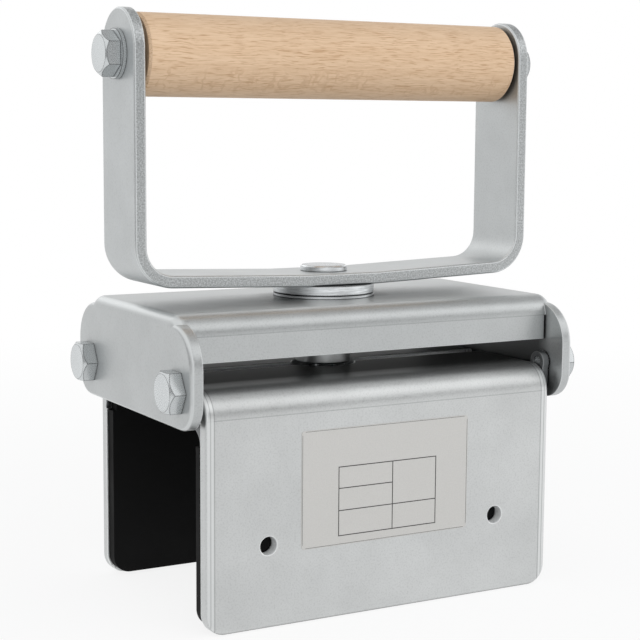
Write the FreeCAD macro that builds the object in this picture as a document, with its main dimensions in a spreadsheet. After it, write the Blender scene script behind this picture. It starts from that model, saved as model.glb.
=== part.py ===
import FreeCAD, Part
import os
import re
import Sketcher
from FreeCAD import Placement, Rotation, Vector

os.makedirs("parts", exist_ok=True)
doc = FreeCAD.newDocument("tongs")

# Driving sizes in millimetres. X runs along the jaws, Y from the front jaw to the rear one, Z up.
SIZES = {
    # flat bar handle
    "strap_width": 40, "strap_sheet": 6, "strap_span": 226, "strap_bend": 20, "strap_height": 135.4,
    "strap_flat": 21, "strap_lift": 3.2, "strap_break": 0.7,
    # wooden grip on its steel core
    "grip_drop": 22, "grip_dia": 40, "grip_chamfer": 1.2, "grip_end_gap": 2.2, "core_dia": 20,
    # hexagon fasteners and their washers
    "thread_dia": 12, "hex_flats": 19, "hex_rim": 0.6, "hex_chamfer": 1.8, "head_height": 7.5,
    "nut_height": 10, "washer_dia": 24, "washer_sheet": 2.2, "grip_screw": 24, "bolt_play": 0.5,
    # folded housing
    "house_span": 215, "house_sheet": 6, "house_bend": 10, "deck_rise": 35, "skirt_clear": 6.5,
    "skirt_gap": 0.8, "fold_rest": 0.5, "wing_depth": 140, "wing_reach": 15, "wing_drop": 52.5,
    "wing_round": 20, "wing_toe": 14, "shoulder_drop": 4, "rim_round": 2.2, "edge_round": 1.4,
    # jaw pivots
    "pivot_edge": 16, "pivot_rise": 0.5, "pivot_pin": 6, "pivot_play": 0.05, "pivot_end_gap": 0.4,
    "lug_round": 5.5, "lug_sheet": 3.5, "lug_play": 0.5, "lug_neck": 10, "lug_neck_drop": 11,
    "ear_sheet": 2.5, "ear_web": 20, "ear_drop": 12, "ear_fillet": 8,
    # jaws
    "jaw_height": 115, "jaw_sheet": 6, "jaw_bend": 13, "jaw_step": 6,
    "jaw_corner": 10, "jaw_split": 10, "notch_gap": 2,
    "jaw_hole_dia": 9, "jaw_hole_pitch": 130, "jaw_hole_height": 40,
    # rubber pads
    "pad_sheet": 7, "pad_inset": 1, "pad_foot": 1.5, "pad_head_gap": 9, "pad_corner": 9, "pad_ear_gap": 0.5,
    # lift and swivel
    "pin_head_dia": 24, "pin_head": 3, "pin_chamfer": 0.8, "pin_play": 0.06, "pin_tail": 2.4,
    "disc_dia": 52, "disc_sheet": 5, "disc_chamfer": 0.6, "slide_sheet": 1.4, "stack_play": 0.1,
    "bush_dia": 29, "bush_chamfer": 0.8,
    "lift_travel": 6.5, "lift_gap": 0.4, "lift_sheet": 6, "lift_length": 64, "lift_depth": 36, "lift_corner": 5,
    # how far a cutting solid runs past the face it cuts
    "overrun": 5,
}
# Levels and reaches that follow from the driving sizes.
DERIVED = {
    "house_top": "jaw_height + deck_rise",
    "house_under": "house_top - house_sheet",
    "house_skirt": "pivot_height + lug_round + skirt_clear",
    "house_depth": "wing_depth - 2 * wing_reach",
    "house_inner": "house_span / 2 - house_sheet",
    "house_fold": "house_sheet - fold_rest",
    "wing_shoulder": "house_top - shoulder_drop",
    "wing_foot": "house_top - wing_drop",
    "bend_level": "house_top - house_bend",
    "fold_foot": "bend_level - house_sheet",
    "pivot_inset": "wing_depth / 2 - pivot_edge",
    "pivot_height": "jaw_height + pivot_rise",
    "jaw_depth": "wing_depth - 2 * jaw_step",
    "jaw_span": "2 * lug_inner",
    "jaw_inner": "jaw_depth / 2 - jaw_sheet",
    "jaw_under": "jaw_height - jaw_sheet",
    "jaw_notch": "bush_dia / 2 + notch_gap",
    "lug_inner": "house_inner - lug_play - lug_sheet",
    "ear_inner": "lug_inner - ear_sheet",
    "ear_foot": "jaw_under - ear_drop",
    "pad_top": "jaw_under - pad_head_gap",
    "slide_foot": "house_top + stack_play",
    "disc_foot": "slide_foot + slide_sheet",
    "strap_seat": "disc_foot + disc_sheet + stack_play",
    "strap_deck": "strap_seat + strap_sheet",
    "strap_top": "strap_seat + strap_height",
    "strap_inner": "strap_span / 2 - strap_sheet",
    "strap_slope": "strap_lift / (strap_span / 2 - strap_flat)",
    "grip_height": "strap_top - grip_drop",
    "grip_half": "strap_inner - grip_end_gap",
    "lift_top": "jaw_under - lift_gap",
    "lift_foot": "lift_top - lift_sheet",
    "bush_foot": "lift_top + lift_travel + lift_gap",
    "bush_length": "house_under - bush_foot",
    "washer_foot": "lift_foot - washer_sheet",
    "nut_foot": "washer_foot - nut_height",
    "pin_end": "nut_foot - pin_tail",
    "pin_bore": "thread_dia / 2 + pin_play",
    "hex_corner": "hex_flats / sqrt(3)",
}
sheet = doc.addObject("Spreadsheet::Sheet", "Sizes")
for row, (alias, number) in enumerate(SIZES.items(), start=1):
    sheet.set(f"A{row}", alias)
    sheet.set(f"B{row}", str(number))
    sheet.setAlias(f"B{row}", alias)
doc.recompute()


def bound(text):
    """Spells a formula of size names as an expression on the cells of the sheet."""
    def spell(match):
        word = match[0]
        if word in DERIVED:
            return f"({bound(DERIVED[word])})"
        return f"Sizes.{word}" if word in SIZES else word
    return re.sub(r"[a-z_]+", spell, text)


def tie(item, formulas):
    """Binds the properties of an object to formulas of the sizes."""
    for prop, text in formulas.items():
        item.setExpression(prop, bound(text))
    return item


ALONG_X, ALONG_Y, ALONG_Z = Vector(1, 0, 0), Vector(0, 1, 0), Vector(0, 0, 1)
QUARTER_TURN = 90
TURNS = {"Z": Rotation(), "X": Rotation(ALONG_Y, QUARTER_TURN)}
# Two numbers closer than this are taken as equal.
CLOSE = 1e-4


def put(item, at, axis="Z"):
    """Turns an object's own Z onto an axis and ties its base point to three formulas."""
    item.Placement = Placement(Vector(), TURNS[axis])
    return tie(item, {f"Placement.Base.{c}": text for c, text in zip("xyz", at)})


def rod(name, radius, length, at=("0", "0", "0"), axis="Z"):
    """A cylinder from a base point along an axis."""
    item = doc.addObject("Part::Cylinder", name)
    return put(tie(item, {"Radius": radius, "Height": length}), at, axis)


def taper(name, low, high, length, at=("0", "0", "0"), axis="Z"):
    """A cone stump from a base point along an axis."""
    item = doc.addObject("Part::Cone", name)
    return put(tie(item, {"Radius1": low, "Radius2": high, "Height": length}), at, axis)


def block(name, size, at):
    """A box with one corner at a base point."""
    item = doc.addObject("Part::Box", name)
    return put(tie(item, dict(zip(("Length", "Width", "Height"), size))), at)


def cut(name, base, tool):
    item = doc.addObject("Part::Cut", name)
    item.Base, item.Tool = base, tool
    return item


def common(name, base, tool):
    item = doc.addObject("Part::Common", name)
    item.Base, item.Tool = base, tool
    return item


def fuse(name, *members):
    item = doc.addObject("Part::MultiFuse", name)
    item.Shapes = list(members)
    return item


def group(name, *members):
    """Keeps separate solids together as one node."""
    item = doc.addObject("Part::Compound", name)
    item.Links = list(members)
    return item


def mirror(name, source, normal):
    item = doc.addObject("Part::Mirroring", name)
    item.Source = source
    item.Normal = normal
    return item


def both_ends(name, source):
    """A piece and its twin at the other end of the tool."""
    return group(name, source, mirror(f"{name}_twin", source, ALONG_X))


def origin(body, role):
    return next(f for f in body.Origin.OriginFeatures if f.Role == role)


def outline(body, name, role, corners, offset=None):
    """A closed sketch of straight edges whose corners are pairs of formulas."""
    sketch = body.newObject("Sketcher::SketchObject", name)
    sketch.AttachmentSupport = [(origin(body, role), "")]
    sketch.MapMode = "FlatFace"
    if offset:
        tie(sketch, {"AttachmentOffset.Base.z": offset})
    count = len(corners)
    spots = [Vector(k, k * k, 0) for k in range(1, count + 1)]
    for k in range(count):
        sketch.addGeometry(Part.LineSegment(spots[k], spots[(k + 1) % count]))
    for k in range(count):
        sketch.addConstraint(Sketcher.Constraint("Coincident", k, 2, (k + 1) % count, 1))
    for k, pair in enumerate(corners):
        for kind, text, start in zip(("DistanceX", "DistanceY"), pair, spots[k]):
            number = sketch.addConstraint(Sketcher.Constraint(kind, -1, 1, k, 1, start))
            sketch.setExpression(f"Constraints[{number}]", bound(text))
    return sketch


def disc_sketch(body, name, role, circles):
    """A sketch of circles, each given as two centre formulas and a radius formula."""
    sketch = body.newObject("Sketcher::SketchObject", name)
    sketch.AttachmentSupport = [(origin(body, role), "")]
    sketch.MapMode = "FlatFace"
    for k, (across, up, radius) in enumerate(circles):
        spot = Vector(k, k + 1, 0)
        sketch.addGeometry(Part.Circle(spot, ALONG_Z, 1))
        wants = (("DistanceX", across), ("DistanceY", up))
        for (kind, text), start in zip(wants, spot):
            number = sketch.addConstraint(Sketcher.Constraint(kind, -1, 1, k, 3, start))
            sketch.setExpression(f"Constraints[{number}]", bound(text))
        number = sketch.addConstraint(Sketcher.Constraint("Radius", k, 1))
        sketch.setExpression(f"Constraints[{number}]", bound(radius))
    return sketch


def pad(body, name, sketch, length, sides="Symmetric"):
    item = body.newObject("PartDesign::Pad", name)
    item.Profile = sketch
    item.SideType = sides
    return tie(item, {"Length": length})


def pocket(body, name, sketch, length, sides="Symmetric"):
    item = body.newObject("PartDesign::Pocket", name)
    item.Profile = sketch
    item.SideType = sides
    return tie(item, {"Length": length})


def turned(name, corners, level):
    """A body turned about the X axis at a level, from a half outline of (along, radius) formulas."""
    body = doc.addObject("PartDesign::Body", name)
    spin = body.newObject("PartDesign::Revolution", f"{name}_turn")
    spin.Profile = outline(body, f"{name}_outline", "XZ_Plane", corners)
    spin.ReferenceAxis = (origin(body, "X_Axis"), [""])
    return put(body, ("0", "0", level))


def read(alias):
    """Gives the number held in one cell of the sheet."""
    return float(sheet.get(alias))


def near(one, other):
    return abs(one - other) < CLOSE


def runs(edge, axis):
    """Tells whether a straight edge runs along an axis."""
    return edge.Curve.TypeId == "Part::GeomLine" and edge.Curve.Direction.cross(axis).Length < CLOSE


def bounds(feature):
    """Gives the box round a plain feature, whose sides find its edges."""
    doc.recompute()
    return feature.Shape.BoundBox


def rounded(body, name, feature, radius, axis, test):
    """Rounds the edges of a feature that run along an axis, if one is given, and pass a test."""
    doc.recompute()
    edges = [pair for pair in enumerate(feature.Shape.Edges, start=1) if not axis or runs(pair[1], axis)]
    names = [f"Edge{k}" for k, edge in edges if test(edge.CenterOfMass)]
    if not names:
        raise RuntimeError(f"no edges for {name}")
    item = body.newObject("PartDesign::Fillet", name)
    item.Base = (feature, names)
    return tie(item, {"Radius": radius})


def hexagon(name, height, at, axis, turn=0):
    """A six-sided head whose outer rim is trimmed by a cone, and whose corners turn by an angle."""
    prism = doc.addObject("Part::Prism", f"{name}_prism")
    tie(prism, {"Circumradius": "hex_corner", "Height": height})
    prism.Placement = Placement(Vector(), Rotation(ALONG_Z, turn))
    low = rod(f"{name}_low", "hex_corner", f"{height} - hex_chamfer")
    rim = ("0", "0", f"{height} - hex_chamfer")
    high = taper(f"{name}_rim", "hex_corner", "hex_flats / 2 - hex_rim", "hex_chamfer", rim)
    return put(common(name, prism, fuse(f"{name}_trim", low, high)), at, axis)


# The handle: one flat bar, bent twice, with round ends and a shallow rise on both sides of the swivel.
half = "strap_span / 2"
rise = "strap_seat + strap_lift"
inner_rise = "strap_deck + strap_slope * (strap_inner - strap_flat)"
strap_bar = doc.addObject("PartDesign::Body", "strap_bar")
strap_lines = outline(strap_bar, "strap_outline", "XZ_Plane", [
    (f"-{half}", "strap_top"), (f"-{half}", rise), ("-strap_flat", "strap_seat"),
    ("strap_flat", "strap_seat"), (half, rise), (half, "strap_top"),
    ("strap_inner", "strap_top"), ("strap_inner", inner_rise), ("strap_flat", "strap_deck"),
    ("-strap_flat", "strap_deck"), ("-strap_inner", inner_rise), ("-strap_inner", "strap_top"),
])
strap_pad = pad(strap_bar, "strap_pad", strap_lines, "strap_width")
strap_box = bounds(strap_pad)
strap_out = rounded(
    strap_bar, "strap_outer_bends", strap_pad, "strap_bend", ALONG_Y,
    lambda c: near(abs(c.x), strap_box.XMax) and c.z < strap_box.Center.z)
rounded(
    strap_bar, "strap_inner_bends", strap_out, "strap_bend - strap_sheet", ALONG_Y,
    lambda c: near(abs(c.x), strap_box.XMax - read("strap_sheet")) and c.z < strap_box.Center.z)
end_level = "strap_top - strap_width / 2"
strap_ends = fuse(
    "strap_ends",
    block("strap_end_block", ("strap_span", "strap_width", end_level),
          (f"-{half}", "-strap_width / 2", "0")),
    rod("strap_end_round", "strap_width / 2", "strap_span", (f"-{half}", "0", end_level), "X"))
strap_holes = fuse(
    "strap_holes",
    rod("grip_holes", "thread_dia / 2 + bolt_play / 2", "strap_span + 2 * overrun",
        (f"-{half} - overrun", "0", "grip_height"), "X"),
    rod("swivel_hole", "pin_bore", "strap_deck + overrun"))
strap_round = common("strap_round", strap_bar, strap_ends)
doc.recompute()
strap_edges = doc.addObject("Part::Chamfer", "strap_edges")
strap_edges.Base = strap_round
broken = read("strap_break")
rims = [
    number for number, edge in enumerate(strap_round.Shape.Edges, start=1)
    if not runs(edge, ALONG_Y)
    and (near(abs(edge.CenterOfMass.y), strap_box.YMax) or edge.CenterOfMass.z > strap_box.Center.z)
]
strap_edges.Edges = [(number, broken, broken) for number in rims]
handle_strap = cut("handle_strap", strap_edges, strap_holes)

# The grip: a turned wooden sleeve with broken edges on a steel tube that spaces the legs.
wood_grip = turned("wood_grip", [
    ("-grip_half", "core_dia / 2"), ("-grip_half", "grip_dia / 2 - grip_chamfer"),
    ("-grip_half + grip_chamfer", "grip_dia / 2"), ("grip_half - grip_chamfer", "grip_dia / 2"),
    ("grip_half", "grip_dia / 2 - grip_chamfer"), ("grip_half", "core_dia / 2"),
], "grip_height")
grip_core = turned("grip_core", [
    ("-strap_inner", "thread_dia / 2"), ("-strap_inner", "core_dia / 2"),
    ("strap_inner", "core_dia / 2"), ("strap_inner", "thread_dia / 2"),
], "grip_height")
grip_washers = both_ends("grip_washers", cut(
    "grip_washer",
    rod("grip_washer_rim", "washer_dia / 2", "washer_sheet", (half, "0", "grip_height"), "X"),
    rod("grip_washer_bore", "thread_dia / 2 + bolt_play / 2", "washer_sheet",
        (half, "0", "grip_height"), "X")))
grip_bolts = both_ends("grip_bolts", fuse(
    "grip_bolt",
    hexagon("grip_head", "head_height", (f"{half} + washer_sheet", "0", "grip_height"), "X"),
    rod("grip_shank", "thread_dia / 2", "washer_sheet + strap_sheet + grip_screw",
        ("strap_inner - grip_screw", "0", "grip_height"), "X")))

# The housing: a folded channel whose ends turn down into wide plates with round shoulders and toes.
side, skin = "house_depth / 2", "house_depth / 2 - house_sheet"
channel_body = doc.addObject("PartDesign::Body", "channel_body")
channel = pad(channel_body, "channel", outline(channel_body, "channel_outline", "YZ_Plane", [
    (f"-({side})", "house_skirt"), (f"-({side})", "house_top"), (side, "house_top"), (side, "house_skirt"),
    (skin, "house_skirt"), (skin, "house_under"),
    (f"-({skin})", "house_under"), (f"-({skin})", "house_skirt"),
]), "2 * house_inner")
channel_box, house_sheet = bounds(channel), read("house_sheet")
channel_out = rounded(
    channel_body, "channel_outer_bends", channel, "house_bend", ALONG_X,
    lambda c: near(abs(c.y), channel_box.YMax) and near(c.z, channel_box.ZMax))
rounded(
    channel_body, "channel_inner_bends", channel_out, "house_bend - house_sheet", ALONG_X,
    lambda c: near(abs(c.y), channel_box.YMax - house_sheet) and near(c.z, channel_box.ZMax - house_sheet))
wing = "wing_depth / 2"
plate_body = doc.addObject("PartDesign::Body", "end_plate")
plate_pad = pad(plate_body, "plate_pad", outline(plate_body, "plate_outline", "YZ_Plane", [
    (f"-{wing}", "wing_foot"), (wing, "wing_foot"), (wing, "wing_shoulder"), (f"-{wing}", "wing_shoulder"),
], "house_inner"), "house_sheet", "One side")
plate_box = bounds(plate_pad)
plate_top = rounded(
    plate_body, "plate_shoulders", plate_pad, "wing_round", ALONG_X,
    lambda c: near(c.z, plate_box.ZMax))
plate_low = rounded(
    plate_body, "plate_toes", plate_top, "wing_toe", ALONG_X,
    lambda c: near(c.z, plate_box.ZMin))
rounded(plate_body, "plate_rims", plate_low, "rim_round", None, lambda c: near(c.x, plate_box.XMax))
fold_body = doc.addObject("PartDesign::Body", "end_fold")
fold_pad = pad(fold_body, "fold_pad", outline(fold_body, "fold_outline", "XZ_Plane", [
    ("house_inner", "fold_foot"), ("house_span / 2", "fold_foot"),
    ("house_span / 2", "house_top"), ("house_inner", "house_top"),
]), "house_depth")
fold_box = bounds(fold_pad)
fold_sides = rounded(
    fold_body, "fold_sides", fold_pad, "house_bend", ALONG_X, lambda c: near(c.z, fold_box.ZMax))
rounded(
    fold_body, "fold_bend", fold_sides, "house_fold", ALONG_Y,
    lambda c: near(c.x, fold_box.XMax) and near(c.z, fold_box.ZMax))
end_piece = fuse("end_piece", plate_body, fold_body)
front_hole = rod(
    "front_hole", "thread_dia / 2", "house_span + 2 * overrun",
    ("-house_span / 2 - overrun", "-pivot_inset", "pivot_height"), "X")
skirt_slot = block(
    "skirt_slot", ("skirt_gap", "house_depth", "bend_level - house_skirt"),
    ("house_inner - skirt_gap", f"-({side})", "house_skirt"))
housing_holes = fuse(
    "housing_holes", front_hole, mirror("rear_hole", front_hole, ALONG_Y),
    skirt_slot, mirror("left_skirt_slot", skirt_slot, ALONG_X),
    rod("swivel_bore", "pin_bore", "house_top + overrun"))
housing = cut(
    "housing_shell",
    fuse("housing_fold", channel_body, end_piece, mirror("left_end_piece", end_piece, ALONG_X)),
    housing_holes)
guide_bush = cut(
    "guide_bush",
    fuse("bush_outer",
         taper("bush_lip", "bush_dia / 2 - bush_chamfer", "bush_dia / 2", "bush_chamfer",
               ("0", "0", "bush_foot")),
         rod("bush_wall", "bush_dia / 2", "bush_length - bush_chamfer",
             ("0", "0", "bush_foot + bush_chamfer"))),
    rod("bush_bore", "pin_bore", "bush_length", ("0", "0", "bush_foot")))

# The pivot bolts: threaded through the end plates, with a plain pin that carries the jaw.
axis_at = ("-pivot_inset", "pivot_height")
pivot_bolt = fuse(
    "pivot_bolt",
    hexagon("pivot_head", "head_height", ("house_span / 2", *axis_at), "X", QUARTER_TURN),
    rod("pivot_thread", "thread_dia / 2", "house_sheet", ("house_inner", *axis_at), "X"),
    rod("pivot_pin", "pivot_pin / 2", "lug_play + lug_sheet - pivot_end_gap",
        ("lug_inner + pivot_end_gap", *axis_at), "X"))
front_bolts = both_ends("front_bolts", pivot_bolt)
pivot_bolts = group("pivot_bolts", front_bolts, mirror("rear_bolts", front_bolts, ALONG_Y))

# The jaws: bent plates with round lower corners, notched for the guide, with a lug welded to each end.
jaw = doc.addObject("PartDesign::Body", "front_jaw_plate")
jaw_pad = pad(jaw, "jaw_pad", outline(jaw, "jaw_outline", "YZ_Plane", [
    ("-jaw_depth / 2", "0"), ("-jaw_depth / 2", "jaw_height"), ("-jaw_split / 2", "jaw_height"),
    ("-jaw_split / 2", "jaw_under"), ("-jaw_inner", "jaw_under"), ("-jaw_inner", "0"),
]), "jaw_span")
jaw_box, jaw_sheet = bounds(jaw_pad), read("jaw_sheet")
jaw_out = rounded(
    jaw, "jaw_outer_bend", jaw_pad, "jaw_bend", ALONG_X,
    lambda c: near(c.y, jaw_box.YMin) and near(c.z, jaw_box.ZMax))
jaw_in = rounded(
    jaw, "jaw_inner_bend", jaw_out, "jaw_bend - jaw_sheet", ALONG_X,
    lambda c: near(c.y, jaw_box.YMin + jaw_sheet) and near(c.z, jaw_box.ZMax - jaw_sheet))
jaw_low = rounded(
    jaw, "jaw_corners", jaw_in, "jaw_corner", ALONG_Y,
    lambda c: near(abs(c.x), jaw_box.XMax) and near(c.z, jaw_box.ZMin))
rounded(
    jaw, "jaw_rims", jaw_low, "edge_round", ALONG_Z,
    lambda c: near(abs(c.x), jaw_box.XMax) and near(c.y, jaw_box.YMin))
pocket(jaw, "jaw_notch_cut", disc_sketch(jaw, "jaw_notch_spot", "XY_Plane", [
    ("0", "0", "jaw_notch")
]), "2 * (jaw_height + overrun)")
pocket(jaw, "jaw_holes", disc_sketch(jaw, "jaw_hole_spots", "XZ_Plane", [
    (f"{sign}jaw_hole_pitch / 2", "jaw_hole_height", "jaw_hole_dia / 2") for sign in ("-", "+")
]), "jaw_depth + overrun")
lug_ear = fuse(
    "lug_ear",
    block("ear_block", ("ear_sheet", "ear_web", "ear_drop"), ("ear_inner", "-jaw_inner", "ear_foot")),
    cut("ear_corner",
        block("ear_corner_block", ("ear_sheet", "ear_fillet", "ear_fillet"),
              ("ear_inner", "-jaw_inner", "ear_foot - ear_fillet")),
        rod("ear_corner_round", "ear_fillet", "ear_sheet",
            ("ear_inner", "-jaw_inner + ear_fillet", "ear_foot - ear_fillet"), "X")))
lug = fuse(
    "lug",
    rod("lug_head", "lug_round", "lug_sheet", ("lug_inner", *axis_at), "X"),
    block("lug_neck_block", ("lug_sheet", "lug_neck", "lug_neck_drop"),
          ("lug_inner", "-pivot_inset - lug_neck / 2", "pivot_height - lug_neck_drop")),
    cut("lug_ear_fit", lug_ear, jaw))
front_jaw_lugs = both_ends("front_jaw_lugs", cut("lug_bored", lug, rod(
    "lug_bore", "pivot_pin / 2 + pivot_play", "lug_sheet", ("lug_inner", *axis_at), "X")))

# The rubber pads: flat sheets inside the legs, stepped in at the top to clear the ears of the lugs.
pad_end, pad_ear = "jaw_span / 2 - pad_inset", "ear_inner - pad_ear_gap"
ear_level = "ear_foot - ear_fillet - pad_ear_gap"
front_pad = doc.addObject("PartDesign::Body", "front_pad")
pad_sole = pad(front_pad, "pad_sole", outline(front_pad, "pad_outline", "XZ_Plane", [
    (f"-({pad_end})", "pad_foot"), (pad_end, "pad_foot"), (pad_end, ear_level), (pad_ear, ear_level),
    (pad_ear, "pad_top"), (f"-({pad_ear})", "pad_top"), (f"-({pad_ear})", ear_level),
    (f"-({pad_end})", ear_level),
], "jaw_inner - pad_sheet"), "pad_sheet", "One side")
pad_box = bounds(pad_sole)
rounded(front_pad, "pad_corners", pad_sole, "pad_corner", ALONG_Y, lambda c: near(c.z, pad_box.ZMin))

# The lift and swivel: a headed pin through the handle, disc and guide, with a plate under both jaws.
pin_top = "strap_deck + stack_play"
swivel_pin = fuse(
    "swivel_pin",
    rod("pin_shank", "thread_dia / 2", f"{pin_top} - pin_end", ("0", "0", "pin_end")),
    rod("pin_flat", "pin_head_dia / 2", "pin_head - pin_chamfer", ("0", "0", pin_top)),
    taper("pin_rim", "pin_head_dia / 2", "pin_head_dia / 2 - pin_chamfer", "pin_chamfer",
          ("0", "0", f"{pin_top} + pin_head - pin_chamfer")))
spacer_disc = cut(
    "spacer_disc",
    fuse("disc_outer",
         taper("disc_lip", "disc_dia / 2 - disc_chamfer", "disc_dia / 2", "disc_chamfer",
               ("0", "0", "disc_foot")),
         rod("disc_wall", "disc_dia / 2", "disc_sheet - disc_chamfer",
             ("0", "0", "disc_foot + disc_chamfer"))),
    rod("disc_bore", "thread_dia / 2", "disc_sheet", ("0", "0", "disc_foot")))
slide_washer = cut(
    "slide_washer",
    rod("slide_rim", "disc_dia / 2", "slide_sheet", ("0", "0", "slide_foot")),
    rod("slide_bore", "thread_dia / 2", "slide_sheet", ("0", "0", "slide_foot")))
lift_plate = doc.addObject("PartDesign::Body", "lift_plate")
lift_pad = pad(lift_plate, "lift_pad", outline(lift_plate, "lift_outline", "XY_Plane", [
    ("-lift_length / 2", "-lift_depth / 2"), ("lift_length / 2", "-lift_depth / 2"),
    ("lift_length / 2", "lift_depth / 2"), ("-lift_length / 2", "lift_depth / 2"),
], "lift_foot"), "lift_sheet", "One side")
rounded(lift_plate, "lift_corners", lift_pad, "lift_corner", ALONG_Z, lambda c: True)
pocket(lift_plate, "lift_bore", disc_sketch(lift_plate, "lift_spot", "XY_Plane", [
    ("0", "0", "thread_dia / 2")
]), "2 * (lift_top + overrun)")
lift_washer = cut(
    "lift_washer",
    rod("lift_washer_rim", "washer_dia / 2", "washer_sheet", ("0", "0", "washer_foot")),
    rod("lift_washer_bore", "thread_dia / 2", "washer_sheet", ("0", "0", "washer_foot")))
lift_nut = cut(
    "lift_nut",
    hexagon("lift_nut_hex", "nut_height", ("0", "0", "nut_foot"), "Z"),
    rod("lift_nut_bore", "thread_dia / 2", "nut_height", ("0", "0", "nut_foot")))

NODES = {
    "housing_shell": housing, "guide_bush": guide_bush, "pivot_bolts": pivot_bolts,
    "front_jaw_plate": jaw, "front_jaw_lugs": front_jaw_lugs, "front_pad": front_pad,
    "rear_jaw_plate": mirror("rear_jaw_plate", jaw, ALONG_Y),
    "rear_jaw_lugs": mirror("rear_jaw_lugs", front_jaw_lugs, ALONG_Y),
    "rear_pad": mirror("rear_pad", front_pad, ALONG_Y),
    "swivel_pin": swivel_pin, "spacer_disc": spacer_disc, "slide_washer": slide_washer,
    "lift_plate": lift_plate, "lift_washer": lift_washer, "lift_nut": lift_nut,
    "handle_strap": handle_strap, "grip_core": grip_core, "wood_grip": wood_grip,
    "grip_washers": grip_washers, "grip_bolts": grip_bolts,
}
doc.recompute()
for item in doc.Objects:
    if "Invalid" in item.State or "Error" in item.State:
        raise RuntimeError(f"{item.Name} did not build: {item.State}")
for name, item in NODES.items():
    item.Label = name
    if item.Shape.isNull() or not item.Shape.isValid():
        raise RuntimeError(f"{name} has no sound shape")
    item.Shape.exportStep(f"parts/{name}.step")
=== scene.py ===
from math import cos, radians, sin

import bpy
import numpy as np
from bpy.props import FloatProperty, FloatVectorProperty, PointerProperty
from mathutils import Matrix, Vector


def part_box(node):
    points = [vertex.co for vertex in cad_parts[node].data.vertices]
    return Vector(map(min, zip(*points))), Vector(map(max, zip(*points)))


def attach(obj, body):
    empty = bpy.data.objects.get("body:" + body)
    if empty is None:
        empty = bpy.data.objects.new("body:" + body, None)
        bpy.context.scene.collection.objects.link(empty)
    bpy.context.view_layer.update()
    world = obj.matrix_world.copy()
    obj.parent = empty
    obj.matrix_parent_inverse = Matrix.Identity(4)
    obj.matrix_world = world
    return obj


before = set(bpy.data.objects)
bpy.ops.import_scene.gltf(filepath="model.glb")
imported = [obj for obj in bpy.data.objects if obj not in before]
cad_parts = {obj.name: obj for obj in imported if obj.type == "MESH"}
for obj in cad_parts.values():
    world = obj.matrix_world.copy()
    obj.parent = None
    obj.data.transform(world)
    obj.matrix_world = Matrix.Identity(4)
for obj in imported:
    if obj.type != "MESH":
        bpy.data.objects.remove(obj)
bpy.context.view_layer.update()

bl_info = {
    "name": "Kerb lifting tongs",
    "version": (1, 0, 0),
    "blender": (4, 5, 0),
    "location": "View3D > Sidebar > Tongs",
    "description": "Finishes, rating plate and studio for self-closing kerb tongs",
    "category": "Object",
}

# Box of the bare solids, kept before anything is added.
JAW_LOW, JAW_HIGH = (Vector(corner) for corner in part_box("front_jaw_plate"))
GRIP_LOW, GRIP_HIGH = (Vector(corner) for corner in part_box("wood_grip"))
SHELL_HIGH = Vector(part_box("housing_shell")[1])

HOUSING_NODES = ("housing_shell", "guide_bush", "lift_plate")
JAW_NODES = ("front_jaw_plate", "rear_jaw_plate")
HIDDEN_NODES = ("front_jaw_lugs", "rear_jaw_lugs", "grip_core")
STRAP_NODES = ("handle_strap",)
FASTENER_NODES = ("pivot_bolts", "grip_bolts", "grip_washers", "lift_nut", "lift_washer")
TURNED_NODES = ("swivel_pin", "spacer_disc", "slide_washer")
PAD_NODES = ("front_pad", "rear_pad")

# Where the finish of the jaws changes: the start of the bend, how far out in Y the top carries painted shade
# under the housing and from where it has none, how far out in X holes are drilled, and the band of levels
# that they lie in.
JAW_FOLD = JAW_HIGH.z - 0.0130
JAW_SHADED, JAW_LIT = 0.0360, 0.0470
HOLE_SPAN = JAW_HIGH.x - 0.0080
HOLE_LEVEL, HOLE_HALF, HOLE_SOFT = 0.0450, 0.0300, 0.0050
# Where the finish of the housing changes: the start of the skirts' bend and their ends, the level above which
# faces that look down get painted shade, and the half depth of the channel, from within its walls to clear of
# them.
SKIRT_FOLD, SKIRT_END = SHELL_HIGH.z - 0.0100, SHELL_HIGH.x - 0.0065
ROOF_LEVEL = SHELL_HIGH.z - 0.0120
CHANNEL_WITHIN, CHANNEL_CLEAR = 0.0495, 0.0600
# Half width and soft edge of a fine line in the finish.
LINE_HALF, LINE_SOFT = 0.00012, 0.00022

WHITE = (1.0, 1.0, 1.0)
LINE_TONE = (0.100, 0.105, 0.110)
HOLE_WALL_LIGHT = (0.80, 0.81, 0.81)
SKY_TONE = (0.97, 0.985, 1.0)

# The plate's ruled fields: upright rules and cross rules as shares of the width from the left and of the
# height from the top, and which cross rules run through each field between two uprights.
UPRIGHT_SHARES = (0.215, 0.535, 0.800)
CROSS_SHARES = (0.333, 0.515, 0.705, 0.920)
FIELD_RULES = ((0, 1, 2, 3), (0, 2, 3))
# How far the ruling stands proud of the foil, the border's width as a share of a rule's, and the bevel round
# the foil as a share of its thickness.
RULE_RISE, BORDER_SHARE, BEVEL_SHARE = 0.00006, 0.35, 0.40

# What the lamps are aimed at, and the place and turn of the camera in the picture.
LAMP_AIM = Vector((0.0, 0.0, 0.14))
CAMERA_SPOT = Vector((-0.4030, -0.7113, 0.2381))
CAMERA_YAW, CAMERA_PITCH, CAMERA_ROLL = radians(29.417), radians(7.075), radians(0.385)
SENSOR_WIDTH = 36.0


def colour(name, about, default):
    """A colour that the user may change."""
    return FloatVectorProperty(name=name, description=about, subtype="COLOR", size=3, min=0.0, max=1.0,
                               default=default)


def share(name, about, default):
    """A number from nought to one that the user may change."""
    return FloatProperty(name=name, description=about, subtype="FACTOR", min=0.0, max=1.0, default=default)


def length(name, about, default):
    """A length in metres that the user may change."""
    return FloatProperty(name=name, description=about, subtype="DISTANCE", unit="LENGTH", min=0.0,
                         precision=5, default=default)


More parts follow.
